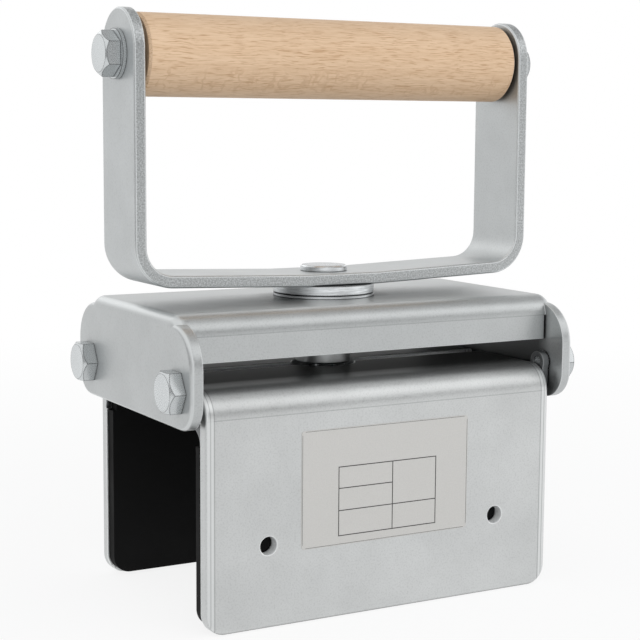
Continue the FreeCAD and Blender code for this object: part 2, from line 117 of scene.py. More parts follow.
def power(name, about, default):
    """A lamp's power in watts that the user may change."""
    return FloatProperty(name=name, description=about, unit="POWER", default=default)


class TongsFinish(bpy.types.PropertyGroup):
    """Colours and grain of the metal, wood and rubber."""

    zinc: colour("Zinc", "Zinc plated jaws", (0.626, 0.639, 0.638))
    # Painted shade: the same zinc as the jaws, darker for the housing.
    zinc_housing_shaded: colour("Housing", "Zinc plated housing, a little duller", (0.535, 0.552, 0.554))
    # Painted shade: a dark copy of the zinc for the lugs and the core of the grip, which lie in shade.
    zinc_shaded_hidden: colour("Hidden", "Thin plating on the lugs and the core of the grip", (0.230, 0.238, 0.242))
    zinc_bar: colour("Bar", "Zinc plated flat bar of the handle", (0.570, 0.590, 0.594))
    zinc_gloss: share("Zinc roughness", "How far the plating scatters a reflection", 0.36)
    zinc_grain: length("Zinc grain", "Size of the fine mottle on the rolled sheet", 0.0009)
    bolt: colour("Fasteners", "Zinc plated screws, washers and nut", (0.64, 0.665, 0.675))
    bolt_gloss: share("Fastener roughness", "How far a screw head scatters a reflection", 0.26)
    bolt_grain: length("Fastener grain", "Size of the fine mottle on a screw head", 0.0005)
    turned: colour("Turned steel", "Bright disc, washer and pin of the swivel", (0.80, 0.824, 0.838))
    turned_gloss: share("Turned roughness", "How far the turned faces scatter a reflection", 0.24)
    beech: colour("Beech", "Pale ground of the wood", (0.735, 0.535, 0.362))
    beech_late: colour("Late wood", "Darker bands of the grain", (0.610, 0.410, 0.250))
    beech_fleck: colour("Fleck", "Short brown rays in the grain", (0.480, 0.285, 0.150))
    # Painted highlight on the turned edge at the grip's end in +X.
    beech_end_glint: colour("End", "Pale turned edge at the end of the grip", (0.800, 0.660, 0.520))
    rubber: colour("Rubber", "Black lining of the jaws", (0.0023, 0.0023, 0.0024))
    plate: colour("Plate", "Warm grey foil of the rating plate", (0.572, 0.562, 0.541))
    ink: colour("Ruling", "Dark ruled lines on the rating plate", (0.030, 0.029, 0.028))


class TongsPlate(bpy.types.PropertyGroup):
    """Sizes of the blank rating plate on the front jaw."""

    width: length("Width", "Plate width along the jaw", 0.0950)
    height: length("Height", "Plate height", 0.0576)
    level: length("Level", "Height of the plate's middle above the jaw's lower edge", 0.06445)
    sheet: length("Thickness", "Thickness of the foil", 0.00022)
    corner: length("Corner", "Radius of the plate's corners", 0.0017)
    rule: length("Ruling", "Width of a ruled line", 0.00042)


class TongsStage(bpy.types.PropertyGroup):
    """Studio light and camera."""

    floor: share("Floor", "Tone of the floor", 0.95)
    fill: share("Sky", "Soft light from all round", 0.62)
    card: share("Cards", "Tone of the grey cards, which only reflections show", 0.47)
    key: power("Key", "Power of the large lamp in front", 19.0)
    top: power("Top", "Power of the lamp above", 0.4)
    side: power("Side", "Power of the lamp on the right", 3.5)
    back: power("Back", "Power of the lamp behind", 0.9)
    focal: FloatProperty(name="Lens", description="Focal length", subtype="DISTANCE_CAMERA", default=89.34)


def wire(tree, kind, inputs=None, **settings):
    """Adds a node, sets its options, and links or sets each input that is named or numbered."""
    node = tree.nodes.new(kind)
    for name, value in settings.items():
        setattr(node, name, value)
    for key, value in (inputs or {}).items():
        if isinstance(value, bpy.types.NodeSocket):
            tree.links.new(value, node.inputs[key])
        else:
            node.inputs[key].default_value = value
    return node


def rgba(values, gain=1.0):
    """A colour times a gain, with full cover."""
    return (*(min(1.0, part * gain) for part in values), 1.0)


def bare_material(name):
    """Gives a new material and its node tree, emptied."""
    material = bpy.data.materials.new(name)
    material.use_nodes = True
    material.node_tree.nodes.clear()
    return material, material.node_tree


def start_finish(name):
    """Gives a new material, its node tree, its shader and the object coordinates."""
    material, tree = bare_material(name)
    shader = wire(tree, "ShaderNodeBsdfPrincipled")
    wire(tree, "ShaderNodeOutputMaterial", {"Surface": shader.outputs["BSDF"]})
    place = wire(tree, "ShaderNodeTexCoord").outputs["Object"]
    return material, tree, shader, place


def join(tree, shader, base, gloss, normal):
    """Leads colour, roughness and relief to the shader."""
    for socket, value in (("Base Color", base), ("Roughness", gloss), ("Normal", normal)):
        tree.links.new(value, shader.inputs[socket])


def stretched(tree, place, scale, shift=(0.0, 0.0, 0.0)):
    """Object coordinates scaled along each axis, then moved by a shift."""
    moved = wire(tree, "ShaderNodeMapping", {"Vector": place, "Location": shift, "Scale": scale})
    return moved.outputs["Vector"]


def noise(tree, place, scale, detail=2.0, rough=0.5):
    """A cloudy value from nought to one."""
    inputs = {"Vector": place, "Scale": scale, "Detail": detail, "Roughness": rough}
    return wire(tree, "ShaderNodeTexNoise", inputs).outputs["Fac"]


def ramp(tree, value, *stops):
    """Turns a value into a colour through stops of place and colour."""
    node = wire(tree, "ShaderNodeValToRGB", {"Fac": value})
    elements = node.color_ramp.elements
    while len(elements) < len(stops):
        elements.new(0.5)
    for element, (at, tone) in zip(elements, stops):
        element.position = at
        element.color = tone
    return node.outputs["Color"]


def mixed(tree, factor, one, other, mode="MIX"):
    """Lays one colour over another."""
    # A mix of colours has its factor, its two colours and its result at these numbers.
    inputs = {0: factor, 6: one, 7: other}
    return wire(tree, "ShaderNodeMix", inputs, data_type="RGBA", blend_type=mode).outputs[2]


def spread(tree, value, low, high, first=0.3, last=0.7):
    """Maps values between a first and a last one onto low to high, and holds those ends beyond them."""
    inputs = {"Value": value, "From Min": first, "From Max": last, "To Min": low, "To Max": high}
    return wire(tree, "ShaderNodeMapRange", inputs).outputs["Result"]


def rising(tree, value, first, last, top=1.0):
    """Nought up to a first value, and the top from a last one on."""
    return spread(tree, value, 0.0, top, first, last)


def falling(tree, value, first, last, top=1.0):
    """The top up to a first value, and nought from a last one on."""
    return spread(tree, value, top, 0.0, first, last)


def along(tree, place, axis):
    """One axis of the coordinates."""
    return wire(tree, "ShaderNodeSeparateXYZ", {"Vector": place}).outputs[axis]


def reckon(tree, operation, *values):
    """One step of sums on values."""
    return wire(tree, "ShaderNodeMath", dict(enumerate(values)), operation=operation).outputs[0]


def size_of(tree, value):
    """A value without its sign."""
    return reckon(tree, "ABSOLUTE", value)


def larger(tree, one, other):
    """The larger of two values."""
    return reckon(tree, "MAXIMUM", one, other)


def product(tree, one, other):
    """Two values multiplied."""
    return reckon(tree, "MULTIPLY", one, other)


def band(tree, value, middle, half, soft):
    """One within a half width of a middle value, falling to nought over a soft edge."""
    off = size_of(tree, reckon(tree, "SUBTRACT", value, middle))
    return falling(tree, off, half, half + soft)


def reckon_vector(tree, operation, *vectors):
    """One step of sums on directions or places, and all that it gives."""
    return wire(tree, "ShaderNodeVectorMath", dict(enumerate(vectors)), operation=operation).outputs


def wavy(tree, place, scale, reach):
    """Coordinates that wander by a reach."""
    inputs = {"Vector": place, "Scale": scale, "Detail": 1.0}
    drift = wire(tree, "ShaderNodeTexNoise", inputs).outputs["Color"]
    drift = reckon_vector(tree, "SUBTRACT", drift, (0.5, 0.5, 0.5))["Vector"]
    drift = reckon_vector(tree, "MULTIPLY", drift, (reach, reach, reach))["Vector"]
    return reckon_vector(tree, "ADD", place, drift)["Vector"]


def rounded_normal(tree, radius):
    """Normals rounded over an edge radius."""
    return wire(tree, "ShaderNodeBevel", {"Radius": radius}, samples=10).outputs["Normal"]


def edge_line(tree, width):
    """One on an edge and nought on a face, from how far a normal rounded over a width leans off the face."""
    leaning, level = 0.93, 0.998
    face = wire(tree, "ShaderNodeNewGeometry").outputs["Normal"]
    lean = reckon_vector(tree, "DOT_PRODUCT", rounded_normal(tree, width), face)["Value"]
    return falling(tree, lean, leaning, level)


def painted_corner_shade(tree, reach):
    """Painted shade: a tone that darkens only deep gaps and inner corners, where shade falls."""
    deep, clear, dark = 0.10, 0.66, 0.25
    open_share = wire(tree, "ShaderNodeAmbientOcclusion", {"Distance": reach}, samples=8).outputs["AO"]
    return ramp(tree, open_share, (deep, rgba(WHITE, dark)), (clear, rgba(WHITE)))


def relief(tree, height, strength, depth, normal=None):
    """Bump from a height, over rounded normals where they are given."""
    inputs = {"Height": height, "Strength": strength, "Distance": depth}
    if normal is not None:
        inputs["Normal"] = normal
    return wire(tree, "ShaderNodeBump", inputs).outputs["Normal"]


class Plating:
    """Zinc plating in the making: a cloudy pale tone with a fine mottle in colour and gloss.

    Each method adds a trait over those before it, and the last one gives the material. The pairs of numbers
    between which a trait comes or goes are cosines of a face with an axis, or metres.
    """

    def __init__(self, name, tone, roughness, grain, speck=0.14, metal=0.90):
        self.material, self.tree, self.shader, self.place = start_finish(name)
        self.tone, self.grain, self.metal = tone, grain, metal
        tree = self.tree
        dull, pale, between, smoother, rougher = 0.95, 1.04, 0.985, 0.05, 0.07
        self.facing = wire(tree, "ShaderNodeTexCoord").outputs["Normal"]
        self.mottle = noise(tree, self.place, scale=1.0 / grain, detail=3.0, rough=0.6)
        cloud = noise(tree, self.place, scale=38.0, detail=3.0, rough=0.55)
        clouded = ramp(tree, cloud, (0.30, rgba(tone, dull)), (0.70, rgba(tone, pale)))
        specks = ramp(tree, self.mottle, (0.32, rgba(WHITE, 1.0 - speck)), (0.52, rgba(WHITE, between)),
                      (0.75, rgba(WHITE)))
        self.base = mixed(tree, 1.0, clouded, specks, "MULTIPLY")
        self.gloss = spread(tree, self.mottle, roughness - smoother, roughness + rougher)
        self.shader.inputs["Metallic"].default_value = metal

    def off(self, axis):
        """Distance from the middle along an axis, either way."""
        return size_of(self.tree, along(self.tree, self.place, axis))

    def turned(self, axis):
        """How squarely a face is turned to an axis, either way."""
        return size_of(self.tree, along(self.tree, self.facing, axis))

    def lay(self, cover, tone):
        """Lays a tone over the colour reached so far."""
        self.base = mixed(self.tree, cover, self.base, tone)

    def bend_start_line(self, level, reach):
        """A faint line on faces turned to Y where a bend starts, up to a reach each way in X."""
        tree, fade, cover = self.tree, 0.0005, 0.30
        line = band(tree, along(tree, self.place, "Z"), level, LINE_HALF, LINE_SOFT)
        line = product(tree, line, rising(tree, self.turned("Y"), 0.80, 0.90))
        run = falling(tree, self.off("X"), reach - fade, reach, cover)
        self.lay(product(tree, line, run), rgba(LINE_TONE))

    def painted_end_rounds(self, end):
        """Painted highlight of a rounded end: a paler strip along the ends in X, with a fine painted dark
        line at its inner edge and one within it.
        """
        tree, pale, strip_cover, line_cover = self.tree, 1.22, 0.70, 0.38
        strip_starts, strip_full = end - 0.0042, end - 0.0038
        outer_line, inner_line = end - 0.0024, end - 0.0044
        out = self.off("X")
        broad = falling(tree, self.turned("X"), 0.40, 0.60)
        strip = product(tree, rising(tree, out, strip_starts, strip_full, strip_cover), broad)
        # Painted highlight of the rounded ends.
        self.lay(strip, rgba(self.tone, pale))
        # Painted dark lines of the painted round.
        for at in (outer_line, inner_line):
            line = product(tree, band(tree, out, at, LINE_HALF, LINE_SOFT), broad)
            self.lay(product(tree, line, line_cover), rgba(LINE_TONE))

    def painted_inside_shade(self, roof):
        """Painted shade on walls that look to the swivel axis and on what looks down above a roof level.

        On walls it fades out towards the wings, which stand free of the channel.
        """
        tree, fade, dark = self.tree, 0.002, 0.24
        far_wall, near_wall = -0.030, -0.015
        level = reckon_vector(tree, "MULTIPLY", self.place, (1.0, 1.0, 0.0))["Vector"]
        outward = reckon_vector(tree, "DOT_PRODUCT", level, self.facing)["Value"]
        walls = product(tree, falling(tree, outward, far_wall, near_wall),
                        falling(tree, self.off("Y"), CHANNEL_WITHIN, CHANNEL_CLEAR))
        ceiling = product(tree, falling(tree, along(tree, self.facing, "Z"), -0.90, -0.70),
                          rising(tree, along(tree, self.place, "Z"), roof, roof + fade))
        self.lay(larger(tree, walls, ceiling), rgba(self.tone, dark))

    def painted_shade_under_housing(self, shaded_to, lit_from):
        """Painted shade on top faces under the housing, up to a first distance from the middle in Y, gone
        from a second; there they are duller too.
        """
        tree, dark, dull = self.tree, 0.34, 0.52
        cover = product(tree, falling(tree, self.off("Y"), shaded_to, lit_from),
                        rising(tree, along(tree, self.facing, "Z"), 0.80, 0.95))
        # Painted shade under the housing.
        self.lay(cover, rgba(self.tone, dark))
        self.gloss = larger(tree, self.gloss, product(tree, cover, dull))

    def lit_hole_walls(self, span):
        """Painted light: pale, nearly non-metallic walls in holes drilled in Y, within a distance in X."""
        tree, fade, hole_wall_metal = self.tree, 0.001, 0.10
        wall = product(tree, falling(tree, self.turned("Y"), 0.30, 0.40),
                       falling(tree, self.off("X"), span, span + fade))
        level = along(tree, self.place, "Z")
        wall = product(tree, wall, band(tree, level, HOLE_LEVEL, HOLE_HALF, HOLE_SOFT))
        # Painted light on the hole walls.
        self.lay(wall, rgba(HOLE_WALL_LIGHT))
        tree.links.new(spread(tree, wall, self.metal, hole_wall_metal, 0.0, 1.0), self.shader.inputs["Metallic"])

    def painted_round_highlights(self, gain):
        """Painted highlight on rounds that turn from X to another side."""
        middle, half, soft = 0.60, 0.22, 0.14
        # Painted highlight on the rounds.
        self.lay(band(self.tree, self.turned("X"), middle, half, soft), rgba(self.tone, gain))

    def painted_flank_shade(self, gain):
        """Painted shade on sides that don't face X, at a gain of the tone."""
        # Painted shade on the flanks.
        self.lay(falling(self.tree, self.turned("X"), 0.20, 0.30), rgba(self.tone, gain))

    def sheared_sides(self, leg_level):
        """Duller, grainy sides of a bar: those facing Y, and those round a leg's end, which don't face X."""
        tree, fade, dull, pale = self.tree, 0.002, 0.60, 1.02
        sides = rising(tree, self.turned("Y"), 0.76, 0.84)
        leg_end = product(tree, falling(tree, self.turned("X"), 0.40, 0.55),
                          rising(tree, along(tree, self.place, "Z"), leg_level, leg_level + fade))
        coarse = noise(tree, self.place, scale=1250.0, rough=0.6)
        sheared = ramp(tree, coarse, (0.36, rgba(self.tone, dull)), (0.64, rgba(self.tone, pale)))
        self.lay(larger(tree, sides, leg_end), sheared)

    def finished(self, edge=0.0008, line=0.0008, painted_edge_cover=0.70, painted_edge_gain=1.45, corner_shade_reach=0.010, bump=0.20):
        """Paints the edges, paints shade into the gaps, gives the mottle relief and hands over the material.

        Edges are rounded over one width and painted over a line of another, to a gain of the tone: a gain
        above one gives a painted highlight, one below gives a painted dark line.
        """
        tree, bump_share = self.tree, 0.2
        # Painted edge light: a highlight where the gain is above one, a dark line where it is below.
        self.lay(product(tree, edge_line(tree, line), painted_edge_cover), rgba(self.tone, painted_edge_gain))
        # Painted shade in gaps and inner corners.
        base = mixed(tree, 1.0, self.base, painted_corner_shade(tree, corner_shade_reach), "MULTIPLY")
        normal = relief(tree, self.mottle, bump, self.grain * bump_share, rounded_normal(tree, edge))
        join(tree, self.shader, base, self.gloss, normal)
        return self.material


def turned_finish(name, tone, roughness):
    """Bright turned steel: fine rings round the swivel axis, painted shade on faces that look up and painted
    dark lines along the edges.
    """
    material, tree, shader, place = start_finish(name)
    edge, line, corner_shade_reach, ring_depth = 0.0005, 0.0007, 0.008, 0.00004
    dull, pale, top_shade_tone, edge_shade_tone, smoother, rougher = 0.72, 1.15, 0.58, 0.20, 0.04, 0.08
    top_shade_cover, edge_shade_cover = 0.90, 0.80
    rings = wire(tree, "ShaderNodeTexWave",
                 {"Vector": place, "Scale": 900.0, "Distortion": 0.6, "Detail": 1.0},
                 wave_type="RINGS", rings_direction="Z").outputs["Fac"]
    streaks = noise(tree, stretched(tree, place, (0.06, 0.06, 1.0)), scale=1900.0, detail=3.0, rough=0.65)
    base = ramp(tree, streaks, (0.34, rgba(tone, dull)), (0.66, rgba(tone, pale)))
    facing = wire(tree, "ShaderNodeTexCoord").outputs["Normal"]
    # Painted shade on faces that look up.
    top = rising(tree, along(tree, facing, "Z"), 0.70, 0.90, top_shade_cover)
    base = mixed(tree, top, base, rgba(tone, top_shade_tone))
    # Painted dark lines along the edges.
    base = mixed(tree, product(tree, edge_line(tree, line), edge_shade_cover), base, rgba(tone, edge_shade_tone))
    # Painted shade in gaps and inner corners.
    base = mixed(tree, 1.0, base, painted_corner_shade(tree, corner_shade_reach), "MULTIPLY")
    shader.inputs["Metallic"].default_value = 1.0
    gloss = spread(tree, rings, roughness - smoother, roughness + rougher, 0.0, 1.0)
    normal = relief(tree, rings, strength=0.12, depth=ring_depth, normal=rounded_normal(tree, edge))
    join(tree, shader, base, gloss, normal)
    return material


def beech_finish(name, finish, middle, reach):
    """Beech turned along X: growth bands round a far heart, wavy fibres, brown rays and a painted highlight
    on the turned edge at the end in +X.

    The rays are short dashes. Lower down, where the surface lies along the growth rings, tufts of curved
    strokes are added to them.
    """
    material, tree, shader, place = start_finish(name)
    heart_ahead, heart_above = 0.052, 0.075
    lace_drop, lace_half, lace_soft = 0.0120, 0.0030, 0.0040
    end_starts, end_full = reach - 0.0011, reach - 0.0009
    along_grain, along_rings, along_clouds = (0.06, 1.0, 1.0), (0.16, 1.0, 1.0), (0.25, 1.0, 1.0)
    dash_cover, stroke_cover, end_glint_cover = 0.82, 0.38, 0.75
    even, fibre_share, cloud_share = 0.55, 0.42, 0.20
    heart = stretched(tree, place, along_rings, (0.0, heart_ahead, -middle.z - heart_above))
    bands = wire(tree, "ShaderNodeTexWave",
                 {"Vector": heart, "Scale": 34.0, "Distortion": 5.0, "Detail": 2.5, "Detail Scale": 9.0},
                 wave_type="RINGS", rings_direction="X").outputs["Fac"]
    bent = wavy(tree, place, scale=60.0, reach=0.0020)
    fibre = noise(tree, stretched(tree, bent, along_grain), scale=1300.0, detail=3.0, rough=0.6)
    rays = noise(tree, stretched(tree, bent, along_grain, (0.3, 0.1, 0.2)), scale=1850.0, rough=0.55)
    strokes = wire(tree, "ShaderNodeTexWave",
                   {"Vector": bent, "Scale": 52.0, "Distortion": 11.0, "Detail": 2.5, "Detail Scale": 3.0},
                   wave_type="BANDS", bands_direction="X").outputs["Fac"]
    tufts = noise(tree, place, scale=110.0)
    clouds = noise(tree, stretched(tree, place, along_clouds), scale=30.0)
    ground = ramp(tree, bands, (0.15, rgba(finish.beech)), (0.95, rgba(finish.beech_late)))
    ground = mixed(tree, even, ground, rgba(finish.beech))
    for cover, value in ((fibre_share, fibre), (cloud_share, clouds)):
        streak = ramp(tree, value, (0.35, rgba(finish.beech_late)), (0.65, rgba(finish.beech, gain=1.08)))
        ground = mixed(tree, cover, ground, streak)
    lace = band(tree, along(tree, place, "Z"), middle.z - lace_drop, lace_half, lace_soft)
    tuft = product(tree, rising(tree, tufts, 0.46, 0.56), lace)
    stroke = product(tree, rising(tree, strokes, 0.55, 0.95, stroke_cover), tuft)
    dash = rising(tree, rays, 0.53, 0.68, dash_cover)
    base = mixed(tree, larger(tree, dash, stroke), ground, rgba(finish.beech_fleck))
    # Painted highlight on the turned edge at the end in +X.
    end_glint = rising(tree, along(tree, place, "X"), end_starts, end_full, end_glint_cover)
    base = mixed(tree, end_glint, base, rgba(finish.beech_end_glint))
    shader.inputs["Specular IOR Level"].default_value = 0.35
    gloss = spread(tree, fibre, low=0.48, high=0.62)
    join(tree, shader, base, gloss, relief(tree, fibre, strength=0.16, depth=0.00010))
    return material


def rubber_finish(name, tone):
    """Matt black rubber with a fine moulded skin and a little dust."""
    material, tree, shader, place = start_finish(name)
    edge, skin_depth = 0.0006, 0.00008
    skin = noise(tree, place, scale=1600.0)
    dust = noise(tree, place, scale=55.0, detail=4.0, rough=0.65)
    base = ramp(tree, dust, (0.40, rgba(tone)), (0.80, rgba(tone, gain=1.9)))
    shader.inputs["Specular IOR Level"].default_value = 0.17
    normal = relief(tree, skin, strength=0.20, depth=skin_depth, normal=rounded_normal(tree, edge))
    join(tree, shader, base, spread(tree, dust, low=0.62, high=0.78), normal)
    return material


def foil_finish(name, tone, roughness, scale):
    """Printed foil: an even tone with a faint mottle of fine grain."""
    material, tree, shader, place = start_finish(name)
    dull, pale, smoother, rougher = 0.96, 1.03, 0.04, 0.05
    mottle = noise(tree, place, scale)
    base = ramp(tree, mottle, (0.30, rgba(tone, dull)), (0.70, rgba(tone, pale)))
    gloss = spread(tree, mottle, roughness - smoother, roughness + rougher)
    join(tree, shader, base, gloss, relief(tree, mottle, strength=0.05, depth=0.00003))
    return material


def seen_by(tree, *rays):
    """One for any of the named kinds of ray, and nought for others."""
    path = wire(tree, "ShaderNodeLightPath")
    seen = path.outputs[rays[0]]
    for ray in rays[1:]:
        seen = larger(tree, seen, path.outputs[ray])
    return seen


def dress(material, *names):
    """Gives a finish to the solids of some nodes."""
    for name in names:
        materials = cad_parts[name].data.materials
        if not materials:
            materials.append(material)
        for index in range(len(materials)):
            materials[index] = material


def add_mesh(name, points, faces, material):
    """Puts points and faces into a new object."""
    mesh = bpy.data.meshes.new(name)
    mesh.from_pydata(points.tolist(), [], [np.asarray(face).tolist() for face in faces])
    mesh.update()
    mesh.materials.append(material)
    piece = bpy.data.objects.new(name, mesh)
    bpy.context.scene.collection.objects.link(piece)
    return piece


def add_piece(name, points, faces, material, body):
    """Adds a piece that rides on a body."""
    piece = add_mesh(name, points, faces, material)
    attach(piece, body)


def flat_tablet(width, height, corner, sheet, bevel, steps=8):
    """A thin rounded tablet in X and Z whose front faces -Y, and its faces.

    Each ring is a rounded rectangle with the points (w + r cos t, h + r sin t), where t runs round the circle
    and w and h are the half sizes less the corner radius, with the signs of cos t and sin t. The rings are
    the back rim, the front rim, and the rim of the front face, where r is smaller by the bevel. Back and
    front are one face each.
    """
    turn = np.linspace(0.0, 2.0 * np.pi, 4 * steps, endpoint=False) + np.pi / (4 * steps)
    insets = np.array([0.0, 0.0, min(bevel, corner)])
    depths = np.array([0.0, bevel - sheet, -sheet])
    radius = (corner - insets)[:, None]
    across = np.sign(np.cos(turn)) * (width / 2 - corner) + radius * np.cos(turn)
    up = np.sign(np.sin(turn)) * (height / 2 - corner) + radius * np.sin(turn)
    rings = np.stack([across, np.broadcast_to(depths[:, None], across.shape), up], axis=-1)
    count, last = len(turn), len(depths) - 1
    k = np.arange(count)
    after = (k + 1) % count
    lower = np.arange(last)[:, None] * count
    walls = np.stack([lower + k, lower + after, lower + count + after, lower + count + k], axis=-1)
    return rings.reshape(-1, 3), [*walls.reshape(-1, 4), k[::-1], last * count + k]


def bars(rectangles, front, back):
    """Closed bars of one depth: each rectangle gives the left, right, lower and upper side of a bar.

    Corner n of a bar lies at its high side in X, Y and Z where bits 2, 1 and 0 of n are set.
    """
    left, right, lower, upper = np.array(rectangles).T
    low = np.stack([left, np.full_like(left, front), lower], axis=-1)
    high = np.stack([right, np.full_like(left, back), upper], axis=-1)
    set_bits = (np.arange(8)[:, None] >> np.array([2, 1, 0])) & 1
    points = np.where(set_bits, high[:, None], low[:, None])
    sides = np.array([[0, 1, 3, 2], [4, 6, 7, 5], [0, 4, 5, 1], [2, 3, 7, 6], [0, 2, 6, 4], [1, 5, 7, 3]])
    faces = sides + 8 * np.arange(len(left))[:, None, None]
    return points.reshape(-1, 3), faces.reshape(-1, 4)


def field_rules(size):
    """Sides of the rules round the plate's fields: uprights, and cross rules between neighbours of these."""
    half = size.rule / 2
    uprights = (np.array(UPRIGHT_SHARES) - 0.5) * size.width
    levels = size.level + (0.5 - np.array(CROSS_SHARES)) * size.height
    rules = [(x - half, x + half, levels[-1] - half, levels[0] + half) for x in uprights]
    for left, right, crossings in zip(uprights, uprights[1:], FIELD_RULES):
        rules += [(left + half, right - half, z - half, z + half) for z in levels[list(crossings)]]
    return rules


def border_rules(size):
    """Sides of the fine border, which lies a rule's width inside the plate and stops short of the corners."""
    thin = size.rule * BORDER_SHARE
    wide, tall = size.width / 2 - size.rule, size.height / 2 - size.rule
    low, high = size.level - tall, size.level + tall
    uprights = [(x, x + thin, low + size.corner, high - size.corner) for x in (-wide, wide - thin)]
    return uprights + [(size.corner - wide, wide - size.corner, z, z + thin) for z in (low, high - thin)]


class TONGS_OT_sheet(bpy.types.Operator):
    """Finish the folded housing, the jaws, the lugs and the handle bar in zinc"""

    bl_idname = "tongs.sheet"
    bl_label = "Zinc sheet and bar"

    def execute(self, context):
        finish = context.scene.tongs_finish
        gloss, grain = finish.zinc_gloss, finish.zinc_grain
        hidden_gloss, bar_gloss = gloss + 0.08, gloss + 0.02
        jaws = Plating("zinc_sheet", finish.zinc, gloss, grain)
        jaws.bend_start_line(JAW_FOLD, JAW_HIGH.x)
        # Painted highlight and dark lines of rounded ends.
        jaws.painted_end_rounds(JAW_HIGH.x)
        jaws.painted_shade_under_housing(JAW_SHADED, JAW_LIT)
        # Painted light on the hole walls.
        jaws.lit_hole_walls(HOLE_SPAN)
        dress(jaws.finished(edge=0.0012, line=0.0012, painted_edge_cover=0.90, corner_shade_reach=0.003), *JAW_NODES)
        # Painted shade: the lugs and the grip's core get a dark copy of the zinc.
        hidden = Plating("zinc_shaded_hidden", finish.zinc_shaded_hidden, hidden_gloss, grain)
        dress(hidden.finished(), *HIDDEN_NODES)
        # Painted shade: a darker copy of the jaws' zinc.
        housing = Plating("zinc_housing_shaded", finish.zinc_housing_shaded, gloss, grain)
        housing.bend_start_line(SKIRT_FOLD, SKIRT_END)
        # Painted shade inside the housing.
        housing.painted_inside_shade(ROOF_LEVEL)
        # Painted highlight on the folds and rims.
        housing.painted_round_highlights(gain=1.18)
        dress(housing.finished(), *HOUSING_NODES)
        bar = Plating("zinc_bar", finish.zinc_bar, bar_gloss, grain)
        bar.sheared_sides(GRIP_LOW.z)
        dress(bar.finished(painted_edge_cover=0.90, painted_edge_gain=1.55), *STRAP_NODES)
        return {"FINISHED"}


class TONGS_OT_fasteners(bpy.types.Operator):
    """Finish the hexagon screws, the washers and the nut"""

    bl_idname = "tongs.fasteners"
    bl_label = "Screws, washers and nut"

    def execute(self, context):
        finish = context.scene.tongs_finish
        screws = Plating("zinc_fastener", finish.bolt, finish.bolt_gloss, finish.bolt_grain,
                         speck=0.02, metal=0.92)
        # Painted shade on the hexagon flanks.
        screws.painted_flank_shade(gain=0.88)
        # The low edge gain gives painted dark lines along the screws' edges.
        dress(screws.finished(edge=0.0002, line=0.0009, painted_edge_cover=0.90, painted_edge_gain=0.12, corner_shade_reach=0.005, bump=0.0),
              *FASTENER_NODES)
        return {"FINISHED"}


class TONGS_OT_swivel(bpy.types.Operator):
    """Finish the turned disc, washer and pin of the swivel"""

    bl_idname = "tongs.swivel"
    bl_label = "Turned swivel"

    def execute(self, context):
        finish = context.scene.tongs_finish
        dress(turned_finish("turned_steel", finish.turned, finish.turned_gloss), *TURNED_NODES)
        return {"FINISHED"}


class TONGS_OT_grip(bpy.types.Operator):
    """Finish the turned beech grip"""

    bl_idname = "tongs.grip"
    bl_label = "Beech grip"

    def execute(self, context):
        middle = (GRIP_LOW + GRIP_HIGH) / 2
        dress(beech_finish("beech", context.scene.tongs_finish, middle, GRIP_HIGH.x), "wood_grip")
        return {"FINISHED"}


class TONGS_OT_pads(bpy.types.Operator):
    """Finish the rubber pads"""

    bl_idname = "tongs.pads"
    bl_label = "Rubber pads"

    def execute(self, context):
        dress(rubber_finish("black_rubber", context.scene.tongs_finish.rubber), *PAD_NODES)
        return {"FINISHED"}


class TONGS_OT_plate(bpy.types.Operator):
    """Lay the blank rating plate with its ruled fields on the front jaw"""

    bl_idname = "tongs.plate"
    bl_label = "Rating plate"

    def execute(self, context):
        size, finish = context.scene.tongs_plate, context.scene.tongs_finish
        face, bevel = JAW_LOW.y, size.sheet * BEVEL_SHARE
        points, faces = flat_tablet(size.width, size.height, size.corner, size.sheet, bevel)
        points = points + np.array([0.0, face, size.level])
        foil = foil_finish("plate_foil", finish.plate, roughness=0.42, scale=1400.0)
        add_piece("rating_plate", points, faces, foil, "front_jaw")
        front, back = face - size.sheet - RULE_RISE, face - size.sheet / 2
        points, faces = bars(field_rules(size) + border_rules(size), front, back)
        ink = foil_finish("plate_ruling", finish.ink, roughness=0.5, scale=2500.0)
        add_piece("plate_ruling", points, faces, ink, "front_jaw")
        return {"FINISHED"}


